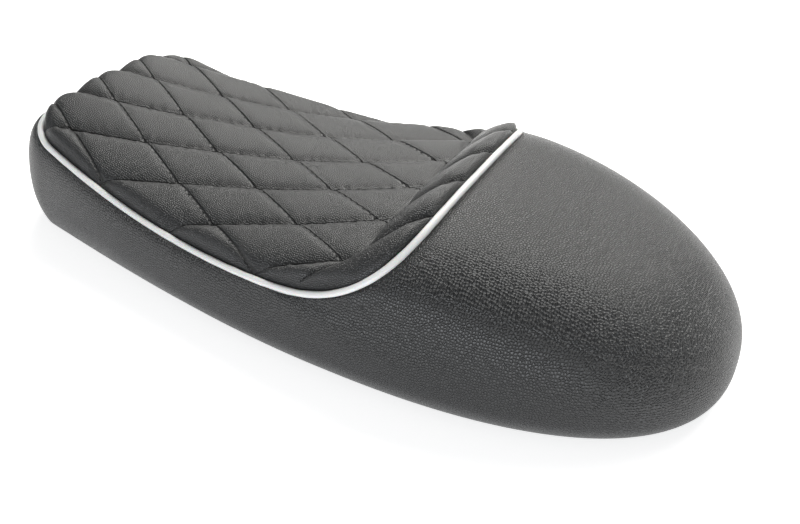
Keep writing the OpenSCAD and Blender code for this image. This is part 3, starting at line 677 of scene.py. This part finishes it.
def buildQuilt():
    x, y = quiltGrid()
    rows, cols = x.shape
    top = np.stack([x, y, quiltHeight(x, y)], 2).reshape(-1, 3)
    ii, jj = np.meshgrid(np.arange(rows - 1), np.arange(cols - 1), indexing="ij")
    a = ii * cols + jj
    faces = np.stack([a, a + cols, a + cols + 1, a + 1], 2).reshape(-1, 4).tolist()

    # the rim rolls down beside the bead, and a coarser underside closes the panel
    rim = np.concatenate([np.arange(cols), np.arange(1, rows) * cols + cols - 1,
                          (rows - 1) * cols + np.arange(cols - 2, -1, -1),
                          np.arange(rows - 2, 0, -1) * cols])
    edge = top[rim]
    out = edge[:, :2] - np.array([quilt["rimCentre"], 0.0])
    out /= np.linalg.norm(out, axis=1)[:, None]
    rolled = edge.copy()
    rolled[:, 2] -= quilt["rimRoll"]
    turned = edge.copy()
    turned[:, :2] += out * quilt["rimOut"]
    turned[:, 2] -= beadR + quilt["rimDrop"]
    base, count = len(top), len(rim)
    k = np.arange(count)
    n = (k + 1) % count
    faces += np.stack([rim[n], base + n, base + k, rim[k]], 1).tolist()
    faces += np.stack([base + n, base + count + n, base + count + k, base + k], 1).tolist()
    stride = quilt["underStep"]
    under = seatHeight(x, y) - quilt["thickness"] - beadR
    low = np.stack([x[::stride, ::stride], y[::stride, ::stride], under[::stride, ::stride]], 2)
    b = np.arange(low.shape[0] * low.shape[1]).reshape(low.shape[:2]) + base + 2 * count
    faces += np.stack([b[:-1, :-1], b[:-1, 1:], b[1:, 1:], b[1:, :-1]], 2).reshape(-1, 4).tolist()
    lowRim = np.concatenate([b[0, :], b[1:, -1], b[-1, -2::-1], b[-2:0:-1, 0]])
    for m in range(len(lowRim)):
        fine = [(m * stride + d) % count for d in range(stride + 1)]
        faces.append([int(lowRim[(m + 1) % len(lowRim)]), int(lowRim[m])]
                     + [int(base + count + f) for f in fine])
    points = np.concatenate([top, rolled, turned, low.reshape(-1, 3)])
    piece = makeMesh("quiltedPanel", points, faces, "quilt_vinyl", quiltVinyl, "quilt_panel")

    # the counts of stitch lines for the seam's finish: only one set runs on up the hump's face
    i, j = latticeAt(points[:, 0], points[:, 1])
    onFace = points[:, 0] > archAt(points[:, 1]) - seat["faceDepth"] + quilt["faceLinesFrom"]
    i = np.where(onFace, np.floor(i) + 0.5, i)
    shown = np.clip(quilt["seamShownFrom"] + seamDistance(points[:, 0], points[:, 1]), 0, 1)
    shown = shown * (np.arange(len(points)) < base)
    counts = piece.data.attributes.new("seamCount", "FLOAT_VECTOR", "POINT")
    counts.data.foreach_set("vector", np.stack([i, j, shown], 1).ravel())
    return piece


quiltPiece = buildQuilt()
print("quilted panel built", len(quiltPiece.data.polygons))


# Lockstitches along every quilting line, each a short thread that dips into the vinyl at both ends.
# The shape gives the place along a stitch, the share of the thread's radius and the lift in mm.
stitching = {
    "pitch": 4.6, "length": 3.5, "thread": 0.42, "margin": 3.5, "sides": 6, "pastCrease": 8,
    "lines": (-4, 10), "reach": (-8, 12), "step": 0.015, "fewest": 10,
    "shape": ((0.0, 0.45, -0.55), (0.22, 1.0, 0.1), (0.5, 1.0, 0.3), (0.78, 1.0, 0.1), (1.0, 0.45, -0.55)),
}


def linePoints(family, index):
    run = np.arange(*stitching["reach"], stitching["step"])
    i, j = (np.full_like(run, index), run) if family == 0 else (run, np.full_like(run, index))
    xs = seat["quiltStart"] + seat["diamondLength"] * (i - j) / 2
    y = seat["diamondWidth"] * (i + j - 3) / 2
    keep = np.abs(y) < lowHalf
    xs, y = xs[keep], y[keep]
    crease = archAt(y) - seat["faceDepth"]
    x = xs.copy()
    for _ in range(4):                          # undo the wander and the stretch of the hump's face
        flat = xs - wander(x, y)
        x = np.where(flat > crease, crease + (flat - crease) / quilt["faceStretch"], flat)
    inside = (x > seat["beadNoseAt"]) & (np.abs(y) < seamWidth(x))
    keep = (inside & (x < crease + stitching["pastCrease"])
            & (seamDistance(x, y) > stitching["margin"]))
    return x[keep], y[keep]


# One stitch: a closed tube through the places in middle
def addStitch(points, faces, middle):
    along = middle[-1] - middle[0]
    along /= np.linalg.norm(along)
    across = np.cross(along, [0, 0, 1])
    across /= np.linalg.norm(across)
    up = np.cross(across, along)
    sides, first = stitching["sides"], len(points)
    for spot, (_, wide, lift) in zip(middle, stitching["shape"]):
        radius = stitching["thread"] * wide
        for s in range(sides):
            c, h = math.cos(2 * math.pi * s / sides), math.sin(2 * math.pi * s / sides)
            points.append(spot + across * c * radius + up * (h * radius + lift))
    last = first + (len(middle) - 1) * sides
    for row in range(first, last, sides):
        for s in range(sides):
            t = (s + 1) % sides
            faces.append([row + s, row + t, row + sides + t, row + sides + s])
    faces.append([first + s for s in range(sides)][::-1])
    faces.append([last + s for s in range(sides)])


def buildStitches():
    points, faces = [], []
    places = np.array([place for place, _, _ in stitching["shape"]])
    for family in (0, 1):
        for index in range(*stitching["lines"]):
            x, y = linePoints(family, index)
            if len(x) < stitching["fewest"]:
                continue
            z = quiltHeight(x, y)
            steps = np.sqrt(np.diff(x)**2 + np.diff(y)**2 + np.diff(z)**2)
            run = np.concatenate([[0], np.cumsum(steps)])
            for start in np.arange(1, run[-1] - stitching["length"], stitching["pitch"]):
                at = start + stitching["length"] * places
                addStitch(points, faces, np.stack([np.interp(at, run, c) for c in (x, y, z)], 1))
    return makeMesh("quiltStitches", np.array(points), faces, "quilt_vinyl", threadBlack)


buildStitches()
print("stitches sewn")


# White sweep under the seat, camera at the photograph's place, and soft lamps: a wide panel behind
# and above the seat, and a low one behind the camera. Lengths in metres, turns in degrees.
studio = {
    "cameraPlace": (0.26585, -0.49465, 0.40504), "cameraTurn": 25.9, "cameraRise": 35.806,
    "cameraRoll": 3.465, "lens": 39.154,
    "floorColour": "#F2F2F2", "floorLift": 0.68, "floorReach": 6, "floorDrop": 0.0002,
    "roomLight": 0.28, "aim": (0, 0, 0.05),
    "panelBehind": {"place": (-0.1, 1.05, 1.0), "wide": 2.0, "high": 1.2, "power": 34, "tint": "#FFFEFA"},
    "panelFront": {"place": (0.3, -1.9, 0.35), "wide": 2.4, "high": 0.7, "power": 24, "tint": "#F6FAFF"},
}


def buildStudio():
    mesh = bpy.data.meshes.new("floor")
    reach, drop = studio["floorReach"], studio["floorDrop"]
    corners = [(x * reach, y * reach, -drop) for x, y in ((-1, -1), (1, -1), (1, 1), (-1, 1))]
    mesh.from_pydata(corners, [], [(0, 1, 2, 3)])
    floor = bpy.data.objects.new("floor", mesh)
    scene.collection.objects.link(floor)
    material, tree = newMaterial("matt white paper sweep")
    # matt paper that looks white to the camera and in reflections, and still keeps the seat's shadow
    ray = addNode(tree, "ShaderNodeLightPath")
    mirrored = addNode(tree, "ShaderNodeMath", {"operation": "MAXIMUM"},
                       {0: ray.outputs["Is Camera Ray"], 1: ray.outputs["Is Glossy Ray"]})
    either = addNode(tree, "ShaderNodeMath", {"operation": "MAXIMUM"},
                     {0: mirrored.outputs["Value"], 1: ray.outputs["Is Transmission Ray"]})
    seen = addNode(tree, "ShaderNodeMath", {"operation": "MULTIPLY", 1: studio["floorLift"]},
                   {0: either.outputs["Value"]})
    paper = addNode(tree, "ShaderNodeBsdfDiffuse", {"Color": linearColour(studio["floorColour"])})
    glow = addNode(tree, "ShaderNodeEmission", {"Color": (1, 1, 1, 1)},
                   {"Strength": seen.outputs["Value"]})
    both = addNode(tree, "ShaderNodeAddShader", None,
                   {0: paper.outputs["BSDF"], 1: glow.outputs["Emission"]})
    addNode(tree, "ShaderNodeOutputMaterial", None, {"Surface": both.outputs["Shader"]})
    mesh.materials.append(material)

    world = bpy.data.worlds.new("studio")
    scene.world = world
    world.use_nodes = True
    tree = world.node_tree
    tree.nodes.clear()
    sky = addNode(tree, "ShaderNodeBackground", {"Color": (1, 1, 1, 1), "Strength": studio["roomLight"]})
    addNode(tree, "ShaderNodeOutputWorld", None, {"Surface": sky.outputs["Background"]})

    for name in ("panelBehind", "panelFront"):
        panel = studio[name]
        lamp = bpy.data.lights.new(name, "AREA")
        lamp.color = linearColour(panel["tint"])[:3]
        lamp.shape, lamp.energy = "RECTANGLE", panel["power"]
        lamp.size, lamp.size_y = panel["wide"], panel["high"]
        holder = bpy.data.objects.new(name, lamp)
        scene.collection.objects.link(holder)
        holder.location = panel["place"]
        aim = Vector(studio["aim"]) - Vector(panel["place"])
        holder.rotation_euler = aim.to_track_quat("-Z", "Y").to_euler()

    camera = bpy.data.cameras.new("camera")
    camera.lens, camera.sensor_width = studio["lens"], 36
    holder = bpy.data.objects.new("camera", camera)
    scene.collection.objects.link(holder)
    turn, rise, roll = (math.radians(studio[k]) for k in ("cameraTurn", "cameraRise", "cameraRoll"))
    back = Vector((math.sin(turn) * math.cos(rise), -math.cos(turn) * math.cos(rise), math.sin(rise)))
    right = Vector((math.cos(turn), math.sin(turn), 0))
    up = back.cross(right)
    rightRolled = right * math.cos(roll) + up * math.sin(roll)
    upRolled = up * math.cos(roll) - right * math.sin(roll)
    holder.matrix_world = Matrix.Translation(studio["cameraPlace"]) @ Matrix(
        (rightRolled, upRolled, back)).transposed().to_4x4()
    scene.camera = holder
    scene.view_settings.view_transform = "Standard"


buildStudio()
print("studio set")
